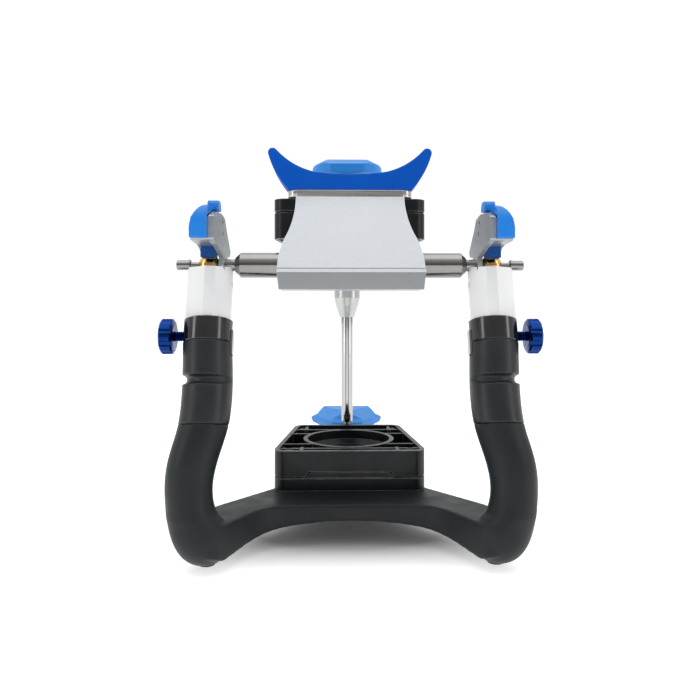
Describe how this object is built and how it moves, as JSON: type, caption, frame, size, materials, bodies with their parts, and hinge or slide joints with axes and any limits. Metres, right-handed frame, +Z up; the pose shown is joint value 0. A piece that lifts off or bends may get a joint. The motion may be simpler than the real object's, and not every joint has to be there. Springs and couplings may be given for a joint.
{
  "type": "dental articulator",
  "caption": "Semi-adjustable dental articulator: arched base on two grip legs, hinged upper member with horned rest, condylar housings, incisal pin and magnetic mounting plates.",
  "frame": {"origin": "on the table, in the middle of the footprint, half-way between the rear of the legs and the front end of the base", "axes": "+Z up, +Y towards the incisal pin at the front, +X to the right when seen from behind"},
  "size_m": [0.1458, 0.1699, 0.1742],
  "materials": {
    "frame_black": "satin charcoal, finely textured",
    "grip_black": "soft-touch matt charcoal",
    "foot_rubber": "matt black rubber",
    "collar_black": "glossy black",
    "plate_black": "satin black moulded plastic",
    "post_aluminium": "fine bright anodised aluminium",
    "housing_aluminium": "satin cool-grey anodised aluminium",
    "arm_aluminium": "bead-blasted clear-anodised aluminium",
    "platform_aluminium": "brushed aluminium",
    "steel": "turned stainless steel",
    "screw_steel": "blackened steel",
    "pin_chrome": "polished chrome",
    "sleeve_steel": "pale satin-polished steel",
    "ball_brass": "polished, gold-coloured",
    "blue_plastic": "satin-gloss saturated blue plastic",
    "crescent_blue": "saturated blue moulded plastic, satin",
    "knob_blue": "saturated blue moulded plastic, satin-gloss",
    "insert_blue": "deep blue moulded plastic",
    "blue_anodised": "deep blue anodised aluminium"
  },
  "bodies": {
    "base": {"base_frame": "frame_black", "rubber_feet": "foot_rubber", "lower_adaptor": "plate_black", "lower_adaptor_screws": "screw_steel", "lower_magnet": "steel", "table_carrier": "plate_black", "incisal_rest": "steel", "table_stud": "steel", "right_grip": "grip_black", "left_grip": "grip_black", "right_collar": "collar_black", "left_collar": "collar_black", "right_post": "post_aluminium", "left_post": "post_aluminium", "right_side_clip": "steel", "left_side_clip": "steel"},
    "lower_plate": {"lower_mounting_plate": "plate_black", "lower_keeper_disc": "steel"},
    "table_knob": {"table_knob": "knob_blue"},
    "right_thumb_screw": {"right_thumb_screw": "blue_anodised"},
    "left_thumb_screw": {"left_thumb_screw": "blue_anodised"},
    "right_housing": {"right_side_plate": "housing_aluminium", "right_plate_screws": "screw_steel", "right_housing_shell": "housing_aluminium", "right_track_insert": "insert_blue", "right_track_strip": "plate_black", "right_lever_pin": "steel"},
    "right_lever": {"right_lock_lever": "blue_plastic"},
    "left_housing": {"left_side_plate": "housing_aluminium", "left_plate_screws": "screw_steel", "left_housing_shell": "housing_aluminium", "left_track_insert": "insert_blue", "left_track_strip": "plate_black", "left_lever_pin": "steel"},
    "left_lever": {"left_lock_lever": "blue_plastic"},
    "upper_member": {"upper_arm": "arm_aluminium", "platform_plate": "platform_aluminium", "crescent_rest": "crescent_blue", "crescent_dowels": "screw_steel", "pin_sleeve": "sleeve_steel", "pin_boss": "steel", "upper_adaptor": "plate_black", "upper_adaptor_screws": "screw_steel", "upper_magnet": "steel", "right_condylar_rod": "steel", "left_condylar_rod": "steel", "right_condyle_ball": "ball_brass", "left_condyle_ball": "ball_brass", "right_ear_pin": "steel", "left_ear_pin": "steel"},
    "upper_plate": {"upper_mounting_plate": "plate_black", "upper_keeper_disc": "steel"},
    "clamp_knob": {"clamp_knob": "knob_blue"},
    "incisal_pin": {"incisal_pin": "pin_chrome", "incisal_pin_tip": "pin_chrome"}
  },
  "joints": [
    {"name": "upper_member_hinge", "type": "hinge", "parent": "base", "child": "upper_member", "pos_m": [0, -0.055, 0.1128], "axis": [1, 0, 0], "range_deg": [0, 110]},
    {"name": "lower_plate_lift", "type": "slide", "parent": "base", "child": "lower_plate", "axis": [0, 0, 1], "range_m": [0, 0.03]},
    {"name": "upper_plate_pull", "type": "slide", "parent": "upper_member", "child": "upper_plate", "axis": [0, 0, -1], "range_m": [0, 0.03]},
    {"name": "incisal_pin_slide", "type": "slide", "parent": "upper_member", "child": "incisal_pin", "axis": [0, 0, 1], "range_m": [0, 0.012]},
    {"name": "clamp_knob_turn", "type": "hinge", "parent": "upper_member", "child": "clamp_knob", "pos_m": [0, 0.037, 0.17], "axis": [0, 0, 1], "continuous": true},
    {"name": "table_knob_turn", "type": "hinge", "parent": "base", "child": "table_knob", "pos_m": [0, 0.063, 0.0325], "axis": [0, 0, 1], "continuous": true},
    {"name": "right_housing_tilt", "type": "hinge", "parent": "base", "child": "right_housing", "pos_m": [0.0556, -0.055, 0.1128], "axis": [1, 0, 0], "range_deg": [-15, 15]},
    {"name": "right_lever_flip", "type": "hinge", "parent": "right_housing", "child": "right_lever", "pos_m": [0.0605, -0.058, 0.126], "axis": [-1, 0, 0], "range_deg": [0, 50]},
    {"name": "right_thumb_turn", "type": "hinge", "parent": "base", "child": "right_thumb_screw", "pos_m": [0.0698, -0.06248, 0.08489], "axis": [1, 0, 0], "continuous": true},
    {"name": "left_housing_tilt", "type": "hinge", "parent": "base", "child": "left_housing", "pos_m": [-0.0556, -0.055, 0.1128], "axis": [1, 0, 0], "range_deg": [-15, 15]},
    {"name": "left_lever_flip", "type": "hinge", "parent": "left_housing", "child": "left_lever", "pos_m": [-0.0605, -0.058, 0.126], "axis": [-1, 0, 0], "range_deg": [0, 50]},
    {"name": "left_thumb_turn", "type": "hinge", "parent": "base", "child": "left_thumb_screw", "pos_m": [-0.0698, -0.06248, 0.08489], "axis": [1, 0, 0], "continuous": true}
  ]
}
